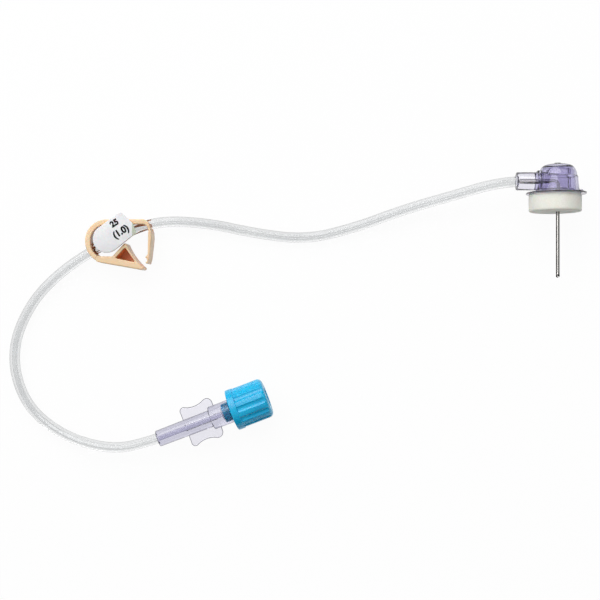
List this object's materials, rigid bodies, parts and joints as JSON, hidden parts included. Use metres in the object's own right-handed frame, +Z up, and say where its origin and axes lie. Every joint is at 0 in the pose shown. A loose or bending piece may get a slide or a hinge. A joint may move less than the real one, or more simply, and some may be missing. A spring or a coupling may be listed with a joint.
{
  "type": "port access needle set",
  "caption": "Bent non-coring port needle in a domed hub with a foam pad, clear tubing, a pinch clamp with a size tag and a winged luer connector with a screw cap.",
  "frame": {"origin": "under the middle of the needle head, on the surface the set lies on", "axes": "+Z up from the surface; +Y along the needle from its tip to the dome's top; the tubing leaves the head towards -X"},
  "size_m": [0.1751, 0.0874, 0.0178],
  "materials": {
    "foam": "soft closed-cell foam",
    "plate_film": "clear, lilac tinted",
    "violet_plastic": "clear violet",
    "clear_plastic": "clear, moulded",
    "needle_steel": "drawn stainless steel",
    "clear_tubing": "clear flexible tubing",
    "clamp_plastic": "cream, satin moulding",
    "tag_plastic": "white, printed size",
    "blue_plastic": "bright blue, slightly clear"
  },
  "bodies": {
    "set": {"foam_pad": "foam", "base_plate": "plate_film", "dome_cover": "violet_plastic", "hub_core": "clear_plastic", "cannula": "needle_steel", "tubing": "clear_tubing", "clamp_frame": "clamp_plastic", "size_tag": "tag_plastic", "luer_hub": "clear_plastic"},
    "jaw": {"clamp_jaw": "clamp_plastic"},
    "cap": {"luer_cap": "blue_plastic"}
  },
  "joints": [
    {"name": "clamp_close", "type": "hinge", "parent": "set", "child": "jaw", "pos_m": [-0.13605, -0.01148, 0.0036], "axis": [0, 0, 1], "range_deg": [0, 18.5], "stiffness_Nm_per_rad": 0.02, "deforming": ["tubing"]},
    {"name": "cap_off", "type": "slide", "parent": "set", "child": "cap", "axis": [0.9336, 0.3584, 0], "range_m": [0, 0.02]}
  ]
}
